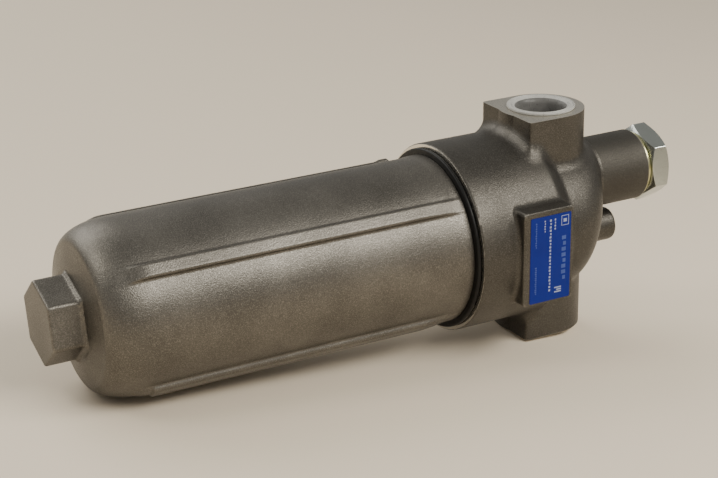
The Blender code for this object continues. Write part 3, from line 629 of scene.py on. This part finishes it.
def head_field(x, y, z):
    body = head_body(x, y, z)
    block = np.minimum(rectangle(x, y, (BLOCK_FRONT, 0), (-BLOCK_RADIUS, BLOCK_RADIUS), BLOCK_CORNER),
                       np.hypot(x, y) - BLOCK_RADIUS)
    block = np.maximum(block, np.abs(z) - PORT_FACE - STOCK)
    solid = round_join(body, block, BLOCK_FOOT + BLOCK_FOOT_GROWTH * ease(-x, *BLOCK_FOOT_X))
    pad_outline = rectangle(x, z, PAD_X, PAD_Z, PAD_CORNER)
    pads = round_meet(pad_outline, between(y, LABEL_PROUD - PAD_FACE, PAD_FACE), PAD_EDGE)
    solid = round_join(solid, pads, PAD_FOOT)
    boss = round_meet(np.hypot(y, z - BOSS_Z) - BOSS_RADIUS, between(x, 0, BOSS_END), BOSS_EDGE)
    solid = round_join(solid, boss, BOSS_FOOT)
    for hole in head_holes(x, y, z):
        solid = np.maximum(solid, -hole)
    return solid


def head_piece():
    margin = 4.5
    low = [COLLAR_FRONT - margin, -PAD_FACE - margin, -PORT_FACE - margin]
    high = [TUBE_END + margin, PAD_FACE + margin, PORT_FACE + margin]
    x, y, z = grid(low, high, HEAD_STEP)
    bm = field_mesh(head_field(x, y, z), low, HEAD_STEP)
    machined, tube, lathed = 1, 2, 3        # places in the list of materials below
    for face in bm.faces:
        centre = face.calc_center_median()
        # The valve tube's faces take the darker copy: painted shade.
        if centre.x > REAR_X[1] + 2 and math.hypot(centre.y, centre.z - TUBE_Z) < TUBE_RADIUS + 1:
            face.material_index = tube
    machine_flat(bm, (0, 0, PORT_FACE), (0, 0, 1), machined)
    machine_flat(bm, (0, 0, -PORT_FACE), (0, 0, -1), machined)
    machine_flat(bm, (COLLAR_FRONT, 0, 0), (-1, 0, 0), lathed)
    machine_flat(bm, (TUBE_END, 0, 0), (1, 0, 0), machined)
    new_piece("head_cast_body", bm, (HEAD_CAST_SHADED, MACHINED, TUBE_CAST_SHADED, TURNED), "head",
              ["head_casting"], 40)


# ---------------------------------------------------------------- bowl casting

BOWL_STEP = 0.8


def bowl_shell(x, rho):
    """Wall, dome and slightly conical end of the bowl."""
    end_slope = 1 - np.clip((rho - HEX_FOOT_RADIUS) / (BOWL_RADIUS - DOME_DROP - HEX_FOOT_RADIUS), 0, 1)
    u = np.maximum((DOME_X - x - CONE_LENGTH * end_slope) / DOME_LENGTH, 0)
    v = np.maximum((rho - BOWL_RADIUS + DOME_DROP) / DOME_DROP, 0)
    reach = np.maximum(np.hypot(u, v), 0.05)
    slope = np.sqrt((u / DOME_LENGTH) ** 2 + (v / DOME_DROP) ** 2) / reach
    wall = (reach - 1) / np.maximum(slope, 1 / DOME_LENGTH)
    lip = BOWL_RADIUS + (LIP_RADIUS - BOWL_RADIUS) * ease(x, *LIP_X)
    far_outside = 50.0
    return np.minimum(wall, np.where(x > LIP_X[0], rho - lip, far_outside))


def rib_height(x, angle):
    """Height of a rib's flat top. It swells out of the dome and sinks towards the lip, or ends in a nub."""
    round_the_dome = np.clip((DOME_X - x) / DOME_LENGTH, 0, 1)
    shell = BOWL_RADIUS - DOME_DROP * (1 - np.sqrt(1 - round_the_dome ** 2))
    rise = RIB_RADIUS - BOWL_RADIUS + RIB_SUNK
    swell = rise * ease(x, RIB_START, RIB_START + RIB_SWELL)
    if angle == LOWER_NEAR_RIB:
        swell = (rise - LOWER_RIB_STEP) * ease(x, RIB_START, RIB_START + LOWER_RIB_SWELL)
        swell += LOWER_RIB_STEP * ease(x, *LOWER_RIB_STEP_X)
    height = shell - RIB_SUNK + swell
    if angle == UPPER_FAR_RIB:
        below_wall = RIB_RADIUS + 2 - BOWL_RADIUS
        return height + NUB_HEIGHT * ease(x, *NUB_X) - below_wall * ease(x, *FAR_RIB_DROP)
    return height - (RIB_RADIUS - LIP_RADIUS) * ease(x, *RIB_RUN_OUT)


def rib_field(x, y, z, angle):
    """Flat strip with steep sides along the bowl; the angle goes from -Y towards +Z."""
    turn = math.radians(angle)
    out = -y * math.cos(turn) + z * math.sin(turn)
    across = y * math.sin(turn) + z * math.cos(turn)
    wider, edge = (LOWER_RIB_WIDER, LOWER_RIB_EDGE) if angle == LOWER_NEAR_RIB else (0.0, RIB_EDGE)
    side = np.abs(across) - RIB_HALF_WIDTH - wider - RIB_DRAFT * (BOWL_RADIUS - out)
    strip = round_meet(side, out - rib_height(x, angle), edge)
    return np.maximum(np.maximum(strip, RIB_ROOT - out), between(x, RIB_START, BOWL_SHOULDER + STOCK))


def bowl_field(x, y, z):
    rho = np.hypot(y, z)
    solid = np.maximum(bowl_shell(x, rho), x - BOWL_SHOULDER - STOCK)
    for angle in RIB_ANGLES:
        solid = round_join(solid, rib_field(x, y, z, angle), RIB_FOOT)
    foot = DOME_X - DOME_LENGTH - CONE_LENGTH
    root = foot + HEX_ROOT
    rim = round_meet(hexagon_field(y, z, HEX_FOOT_RADIUS, 1.2), between(x, foot - HEX_FOOT_LENGTH, root), 0.4)
    nut = round_meet(hexagon_field(y, z, HEX_RADIUS, 1.0), between(x, HEX_END, root), 0.8)
    solid = np.minimum(solid, round_join(rim, nut, 0.7))
    bore = round_meet(rho - BOWL_BORE, between(x, BOWL_FLOOR, BOWL_SHOULDER + 20), BORE_ROUND)
    return np.maximum(solid, -bore)


def bowl_piece():
    margin = 3.6
    side = RIB_RADIUS + margin
    low = [HEX_END - margin, -side, -side]
    high = [BOWL_SHOULDER + margin, side, side]
    x, y, z = grid(low, high, BOWL_STEP)
    bm = field_mesh(bowl_field(x, y, z), low, BOWL_STEP)
    machined = 1        # place in the list of materials below
    machine_flat(bm, (BOWL_SHOULDER, 0, 0), (1, 0, 0), machined)
    new_piece("bowl_cast_shell", bm, (CAST, MACHINED), "bowl", ["bowl"])


THREAD_PITCH = 2.0
THREAD_X = (-72.0, -52.5)
THREAD_RADIUS = 45.0
THREAD_DEPTH = 1.2
UNDERCUT_RADIUS = 43.7
SEAL_LAND_RADIUS = 43.9
SEAL_LAND_START = THREAD_X[1] + 1.4
GROOVE_X = (-49.0, -43.4)
GROOVE_RADIUS = 40.9
SPIGOT_CHAMFER = 0.8


def thread_radius(x, turn_share, fade):
    """Right-hand thread with flat crests and roots; `fade` flattens it towards its ends."""
    phase = (x / THREAD_PITCH + turn_share) % 1.0
    crest = min(1.0, max(0.0, 2.4 * (0.5 - abs(phase - 0.5)) - 0.1))
    return THREAD_RADIUS - THREAD_DEPTH + THREAD_DEPTH * crest * fade


def bowl_spigot():
    """Turned mouth of the bowl with its thread and the O-ring groove."""
    sides, rows, faded_rows = 120, 90, 6
    run_in, run_out = 1.2, 1.0
    bm = bmesh.new()
    start, end = THREAD_X
    joint = BOWL_SHOULDER - 0.5        # sunk a little into the casting
    outline = [(joint, BOWL_BORE), (joint, UNDERCUT_RADIUS)]
    rings = [[bm.verts.new(point) for point in circle_points(x, radius, sides)] for x, radius in outline]
    for row in range(rows + 1):
        x = start - run_in + (end - start + run_in + run_out) * row / rows
        fade = min(1.0, row / faded_rows, (rows - row) / faded_rows)
        ring = []
        for side in range(sides):
            turn = 2 * math.pi * side / sides
            radius = thread_radius(x, side / sides, fade)
            ring.append(bm.verts.new((x, radius * math.sin(turn), radius * math.cos(turn))))
        rings.append(ring)
    groove_start, groove_end = GROOVE_X
    outline = [(SEAL_LAND_START, SEAL_LAND_RADIUS), (groove_start, SEAL_LAND_RADIUS),
               (groove_start, GROOVE_RADIUS), (groove_end, GROOVE_RADIUS), (groove_end, SEAL_LAND_RADIUS),
               (SPIGOT_END - SPIGOT_CHAMFER, SEAL_LAND_RADIUS),
               (SPIGOT_END, SEAL_LAND_RADIUS - SPIGOT_CHAMFER), (SPIGOT_END, BOWL_BORE)]
    rings += [[bm.verts.new(point) for point in circle_points(x, radius, sides)] for x, radius in outline]
    for first, second in zip(rings, rings[1:] + rings[:1]):
        for side in range(sides):
            ahead = (side + 1) % sides
            bm.faces.new((first[side], first[ahead], second[ahead], second[side]))
    bmesh.ops.recalc_face_normals(bm, faces=bm.faces)
    new_piece("bowl_spigot", bm, (MACHINED,), "bowl")


# ---------------------------------------------------------------- turned and moulded pieces

SEAL_RING_BORE = 45.6


def seal_ring_piece():
    """Rubber ring with a rounded outer edge."""
    low, high = RING_LOW.x, RING_HIGH.x
    bulge = (high - low) / 2
    rim = arc(((low + high) / 2, RING_HIGH.z - bulge), bulge, 180, 0, 10)
    outline = [(low, SEAL_RING_BORE), *rim, (high, SEAL_RING_BORE)]
    new_piece("bowl_seal_ring_rubber", turned(outline, 180), (RUBBER,), "bowl_seal",
              ["bowl_seal_ring"])


CAP_FLANGE_RADIUS = (CAP_HIGH.x - CAP_LOW.x) / 2
CAP_FLANGE_THICKNESS = 1.5
CAP_EDGE = 0.5
CAP_FLOOR = 1.6
CAP_BODY_RADIUS = 14.7
CAP_CONE_RADIUS = 15.4       # a short cone joins the cup to the flange
CAP_SHADE_RADIUS = 14.2      # inside this radius the cup's wall is thin; a darker copy of the plastic there is painted shade in the cup


def port_plug_piece(name, node, body, side):
    """Push-in plug: flat flange, raised inner rim, and a cup whose bore narrows towards its floor."""
    top, bottom = CAP_HIGH.z, CAP_LOW.z
    under = top - CAP_FLANGE_THICKNESS
    flat = top - CAP_EDGE
    floor_top = bottom + CAP_FLOOR
    outline = [(bottom, 0.0), (bottom, 13.6), *arc((bottom + 1.0, 13.7), 1.0, 180, 90, 4),
               (under - 1.0, CAP_BODY_RADIUS), (under, CAP_CONE_RADIUS), (under, CAP_FLANGE_RADIUS - 0.3),
               (under + 0.3, CAP_FLANGE_RADIUS),
               *arc((flat, CAP_FLANGE_RADIUS - CAP_EDGE), CAP_EDGE, 90, 0, 3), (flat, 19.0), (flat, 17.2),
               (top, 16.8), (top - 0.2, 16.4), (top - 1.0, 15.2), (top - 2.4, 14.0), (top - 4.0, 13.6),
               (floor_top + 1.0, 13.2), (floor_top, 12.2), (floor_top, 0.0)]
    bm = turned(outline, 96, about_z=side)
    cup_shade = 1        # place in the list of materials below
    for face in bm.faces:
        place = face.calc_center_median()
        if place.xy.length < CAP_SHADE_RADIUS or abs(place.z) < under:
            face.material_index = cup_shade
    new_piece(name, bm, (PLASTIC, PLASTIC_SHADED), body, [node], 30)


NUT_X = (67.6, PLUG_HIGH.x)
NUT_RADIUS = 23.7
NUT_FACE_RADIUS = 18.8       # radius at which the corners' chamfers meet the end faces
NUT_TURN = math.radians(97.26)
CHAMFER_ANGLE = math.radians(30)
RECESS_RADII = (15.3, 15.8)
RECESS_DEPTH = 0.5


def hexagon_prism():
    bm = bmesh.new()
    ends = []
    for x in NUT_X:
        ring = []
        for corner in range(6):
            angle = NUT_TURN + math.radians(60 * corner)
            y, z = -NUT_RADIUS * math.cos(angle), TUBE_Z + NUT_RADIUS * math.sin(angle)
            ring.append(bm.verts.new((x, y, z)))
        ends.append(ring)
    for corner in range(6):
        ahead = (corner + 1) % 6
        bm.faces.new((ends[0][corner], ends[0][ahead], ends[1][ahead], ends[1][corner]))
    bm.faces.new(ends[0])
    bm.faces.new(ends[1])
    bmesh.ops.recalc_face_normals(bm, faces=bm.faces)
    return bm


def chamfering_barrel():
    """The round blank that a hexagon's chamfered corners come from, with the shallow recess in its end."""
    low, high = NUT_X
    widest = NUT_RADIUS + 1
    slope = (widest - NUT_FACE_RADIUS) * math.tan(CHAMFER_ANGLE)
    outline = [(low - 1, 0.0), (low - 1, NUT_FACE_RADIUS), (low, NUT_FACE_RADIUS), (low + slope, widest),
               (high - slope, widest), (high, NUT_FACE_RADIUS), (high, RECESS_RADII[1]),
               (high - RECESS_DEPTH, RECESS_RADII[0]), (high - RECESS_DEPTH, 0.0)]
    return turned(outline, 144, TUBE_Z)


def plug_hexagon_piece():
    """Hexagon head with both chamfers and slightly broken edges."""
    nut = new_piece("valve_plug_hexagon", hexagon_prism(), (PLATED,), "plug",
                    ["valve_plug"])
    cutter = new_piece("nut_chamfers", chamfering_barrel(), (PLATED,), "plug")
    step = nut.modifiers.new("chamfers", "BOOLEAN")
    step.operation = "INTERSECT"
    step.object = cutter
    edges = nut.modifiers.new("edges", "BEVEL")
    edges.width = 0.4 * MM
    edges.segments = 1
    edges.angle_limit = math.radians(25)
    apply_modifiers(nut)
    bpy.data.objects.remove(cutter)
    nut.data.set_sharp_from_angle(angle=math.radians(20))


SHANK_RADIUS = 16.3
SHANK_ROOT_RADIUS = 15.2
SHANK_PITCH = 2.0
SHANK_THREAD_END = 64.0
GUIDE_RADIUS = 3.5           # bore that guides the poppet's stem
GUIDE_END = 62.0


def plug_shank_piece():
    """Shank with rings in place of its thread, and the bore that guides the poppet."""
    start = PLUG_LOW.x
    outline = [(GUIDE_END, 0.0), (GUIDE_END, GUIDE_RADIUS), (start, GUIDE_RADIUS), (start, SHANK_ROOT_RADIUS)]
    x = start + 0.8
    while x < SHANK_THREAD_END:
        outline += [(x, SHANK_ROOT_RADIUS), (x + 0.4 * SHANK_PITCH, SHANK_RADIUS),
                    (x + 0.6 * SHANK_PITCH, SHANK_RADIUS)]
        x += SHANK_PITCH
    sunk = NUT_X[0] + 0.5
    outline += [(SHANK_THREAD_END + 1.0, SHANK_ROOT_RADIUS), (sunk, SHANK_ROOT_RADIUS), (sunk, 0.0)]
    new_piece("valve_plug_shank", turned(outline, 72, TUBE_Z), (STEEL,), "plug")


def apply_modifiers(obj):
    graph = bpy.context.evaluated_depsgraph_get()
    mesh = bpy.data.meshes.new_from_object(obj.evaluated_get(graph))
    obj.modifiers.clear()
    obj.data = mesh


WASHER_BORE = 17.4
WASHER_EDGE = 0.3
LIP_BACK, LIP_FLANK, LIP_TIP = 17.3, 17.0, 16.5      # radii of the washer's rubber lip


def washer_piece():
    """Steel ring with a rubber lip bonded inside it."""
    low, high = WASHER_LOW.x, WASHER_HIGH.x
    outer = (WASHER_HIGH.z - WASHER_LOW.z) / 2
    outline = [(low, WASHER_BORE), (low, outer - WASHER_EDGE), (low + WASHER_EDGE, outer),
               (high - WASHER_EDGE, outer), (high, outer - WASHER_EDGE), (high, WASHER_BORE)]
    new_piece("valve_plug_washer_metal", turned(outline, 96, TUBE_Z), (YELLOW,), "washer",
              ["valve_plug_washer"])
    middle = (low + high) / 2
    lip = [(low, LIP_BACK), (high, LIP_BACK), (high, LIP_FLANK), (middle, LIP_TIP), (low, LIP_FLANK)]
    new_piece("valve_plug_washer_lip", turned(lip, 96, TUBE_Z), (RUBBER,), "washer")


LABEL_CORNER = 0.8
PRINT_THICKNESS = 0.03
EMBLEM_RIGHT = LABEL_HIGH.x - 1.6
PRINT_TOP = LABEL_HIGH.z - 1.5
BLUE, PALE, WHITE = range(3)         # places in the label's list of materials

# X range from the emblem's right edge and drop from its top: a frame with a block in it.
EMBLEM = (((-5.0, -4.65), (0.0, 6.0)), ((-0.35, 0.0), (0.0, 6.0)), ((-4.65, -0.35), (0.0, 0.35)),
          ((-4.65, -0.35), (5.65, 6.0)), ((-3.6, -1.4), (2.0, 4.0)))

# Each line of print runs down the label: offset, bar width, first drop, bar length, gap, count, ink.
PRINT_LINES = (
    (-4.4, 2.8, 12.2, 2.25, 1.2, 8, PALE), (-9.6, 0.9, 1.0, 1.1, 0.7, 4, WHITE),
    (-12.8, 1.2, 1.0, 1.25, 0.75, 22, WHITE), (-16.4, 0.8, 1.0, 0.9, 0.6, 5, WHITE),
    (-22.2, 0.9, 1.6, 0.9, 0.5, 11, PALE), (-22.2, 1.1, 28.0, 0.8, 0.4, 14, PALE),
    (-8.8, 4.6, 42.4, 0.8, 0.5, 3, WHITE))


def plate(bm, x_range, z_range, corner, y_range, index):
    """Thin plate with rounded corners, from its front to its back."""
    steps = 4 if corner else 1
    (left, right), (bottom, top) = x_range, z_range
    outline = (arc((right - corner, bottom + corner), corner, -90, 0, steps)
               + arc((right - corner, top - corner), corner, 0, 90, steps)
               + arc((left + corner, top - corner), corner, 90, 180, steps)
               + arc((left + corner, bottom + corner), corner, 180, 270, steps))
    outline = list(dict.fromkeys(outline))
    front, back = [[bm.verts.new((u, y, v)) for u, v in outline] for y in y_range]
    faces = [bm.faces.new(front), bm.faces.new(back[::-1])]
    for number in range(len(outline)):
        ahead = (number + 1) % len(outline)
        faces.append(bm.faces.new((front[ahead], front[number], back[number], back[ahead])))
    for face in faces:
        face.material_index = index


def label_piece():
    """Film with rounded corners, and plain bars that stand in for the print."""
    front, back = LABEL_LOW.y, LABEL_HIGH.y
    film_front = front + PRINT_THICKNESS
    bm = bmesh.new()
    plate(bm, (LABEL_LOW.x, LABEL_HIGH.x), (LABEL_LOW.z, LABEL_HIGH.z), LABEL_CORNER,
          (film_front, back), BLUE)
    for (left, right), (upper, lower) in EMBLEM:
        plate(bm, (EMBLEM_RIGHT + left, EMBLEM_RIGHT + right), (PRINT_TOP - lower, PRINT_TOP - upper), 0,
              (front, film_front), WHITE)
    for offset, width, drop, length, gap, count, ink in PRINT_LINES:
        left = EMBLEM_RIGHT + offset
        for number in range(count):
            upper = PRINT_TOP - drop - number * (length + gap)
            narrow = 0.3 * width * (number % 3 == 1)
            plate(bm, (left + narrow, left + width), (upper - length, upper), 0, (front, film_front), ink)
    bmesh.ops.recalc_face_normals(bm, faces=bm.faces)
    new_piece("label_film", bm, (LABEL_BLUE, LABEL_PALE, LABEL_WHITE), "head",
              ["label_plate"], 30)


def coil_piece(name, node, body, turns, wire, fixed_end):
    """Fine coil in place of a plain one."""
    low, high = span(node)
    radius = (high.z - low.z) / 2 - wire
    centre_z = (high.z + low.z) / 2
    start, end = low.x + wire, high.x - wire
    steps, sides = 28 * turns, 10
    bm = bmesh.new()
    rings = []
    for step in range(steps + 1):
        turn = 2 * math.pi * turns * step / steps
        out = Vector((0.0, math.cos(turn), math.sin(turn)))
        centre = Vector((start + (end - start) * step / steps, 0.0, centre_z)) + radius * out
        ring = []
        for side in range(sides):
            angle = 2 * math.pi * side / sides
            away = math.cos(angle) * out + math.sin(angle) * Vector((1, 0, 0))
            ring.append(bm.verts.new(centre + wire * away))
        rings.append(ring)
    for first, second in zip(rings, rings[1:]):
        for side in range(sides):
            ahead = (side + 1) % sides
            bm.faces.new((first[side], first[ahead], second[ahead], second[side]))
    bm.faces.new(rings[0])
    bm.faces.new(rings[-1])
    bmesh.ops.recalc_face_normals(bm, faces=bm.faces)
    made = new_piece(name, bm, (SPRING,), body, [node])
    anchor = ORIGIN + MM * Vector((fixed_end(low.x, high.x), 0.0, centre_z))
    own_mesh(made)


CAD_FINISHES = {
    "bowl_o_ring": RUBBER, "bowl_backup_ring": BACKING, "element_top_cap": STEEL, "element_bottom_cap": STEEL,
    "element_core_tube": STEEL, "element_pleated_media": PAPER, "element_outer_sleeve": STEEL,
    "element_o_ring": RUBBER, "bypass_seat": STEEL, "bypass_seat_o_ring": RUBBER, "bypass_poppet": STEEL}


def finish_cad_nodes():
    for node, finish in CAD_FINISHES.items():
        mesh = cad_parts[node].data
        mesh.materials.clear()
        mesh.materials.append(finish)


# ---------------------------------------------------------------- floor, light and camera

def floor_rest():
    """A point of the floor and its tilt about Y, with the filter on the lower plug's flange and the dome."""
    foot_x, foot_z = CAP_EDGE - CAP_FLANGE_RADIUS, -CAP_HIGH.z
    tilts = []
    for degrees in range(91):
        angle = math.radians(degrees)
        x = DOME_X - DOME_LENGTH * math.sin(angle)
        z = -(BOWL_RADIUS - DOME_DROP * (1 - math.cos(angle)))
        tilts.append(math.atan2(z - foot_z, foot_x - x))
    return Vector((foot_x, 0.0, foot_z)), min(tilts)


FLOOR_POINT, FLOOR_TILT = floor_rest()
FLOOR_TURN = Matrix.Rotation(FLOOR_TILT, 3, "Y")
FLOOR_HALF_METRES = 12.0
LIGHT_AIM = ORIGIN + MM * Vector((-110.0, 0.0, 0.0))


def floor():
    """Plain pale sheet that passes through the filter's two resting places."""
    bm = bmesh.new()
    bmesh.ops.create_grid(bm, x_segments=8, y_segments=8, size=FLOOR_HALF_METRES)
    mesh = bpy.data.meshes.new("floor_sheet")
    bm.to_mesh(mesh)
    bm.free()
    mesh.materials.append(floor_finish())
    made = bpy.data.objects.new("floor_sheet", mesh)
    made.matrix_world = Matrix.Translation(ORIGIN + MM * FLOOR_POINT) @ FLOOR_TURN.to_4x4()
    bpy.context.collection.objects.link(made)


def area_light(name, direction, distance, size, power, colour):
    """Soft box in a direction from near the filter's middle, facing it; distance and size are in metres."""
    lamp = bpy.data.lights.new(name, "AREA")
    lamp.shape = "RECTANGLE"
    lamp.size, lamp.size_y = size
    lamp.energy = power
    lamp.color = colour
    made = bpy.data.objects.new(name, lamp)
    towards = Vector(direction).normalized()
    made.location = LIGHT_AIM + towards * distance
    made.rotation_euler = towards.to_track_quat("Z", "Y").to_euler()
    bpy.context.collection.objects.link(made)


def light():
    area_light("front_box", direction=(0.42, -0.70, 0.68), distance=1.5, size=(1.3, 0.4), power=22.0,
               colour=(1.0, 0.96, 0.88))
    area_light("dome_box", direction=(-0.62, 0.10, 0.78), distance=1.5, size=(0.5, 0.5), power=4.5,
               colour=(1.0, 0.96, 0.86))
    area_light("top_box", direction=(-0.5, 1.15, 1.0), distance=2.6, size=(2.2, 2.0), power=37.0,
               colour=(1.0, 0.975, 0.92))
    world = bpy.data.worlds.new("studio")
    world.use_nodes = True
    background = world.node_tree.nodes["Background"]
    background.inputs["Color"].default_value = (0.80, 0.785, 0.745, 1.0)
    background.inputs["Strength"].default_value = 0.47
    bpy.context.scene.world = world


def camera():
    """The photograph's camera, turned about its target in degrees; the distance is in metres."""
    azimuth, elevation, roll = (math.radians(angle) for angle in (-28.44, 21.18, -1.06))
    distance, lens = 0.970, 86.3
    target = ORIGIN + MM * Vector((-122.0, 0.0, 8.8))
    back = Vector((math.sin(azimuth) * math.cos(elevation), -math.cos(azimuth) * math.cos(elevation),
                   math.sin(elevation)))
    right = Vector((math.cos(azimuth), math.sin(azimuth), 0.0))
    up = back.cross(right)
    turned_right = right * math.cos(roll) + up * math.sin(roll)
    turned_up = up * math.cos(roll) - right * math.sin(roll)
    lens_data = bpy.data.cameras.new("camera")
    lens_data.lens = lens
    made = bpy.data.objects.new("camera", lens_data)
    facing = Matrix((turned_right, turned_up, back)).transposed().to_4x4()
    made.matrix_world = Matrix.Translation(target + back * distance) @ facing
    bpy.context.collection.objects.link(made)
    bpy.context.scene.camera = made


head_piece()
bowl_piece()
bowl_spigot()
seal_ring_piece()
port_plug_piece("inlet_plug_moulding", "inlet_port_plug", "inlet_plug", 1)
port_plug_piece("outlet_plug_moulding", "outlet_port_plug", "outlet_plug", -1)
plug_hexagon_piece()
plug_shank_piece()
washer_piece()
label_piece()
coil_piece("element_spring_coil", "element_spring", "bowl", 6, 1.1, min)
coil_piece("bypass_spring_coil", "bypass_spring", "plug", 7, 0.8, max)
finish_cad_nodes()
floor()
light()
camera()
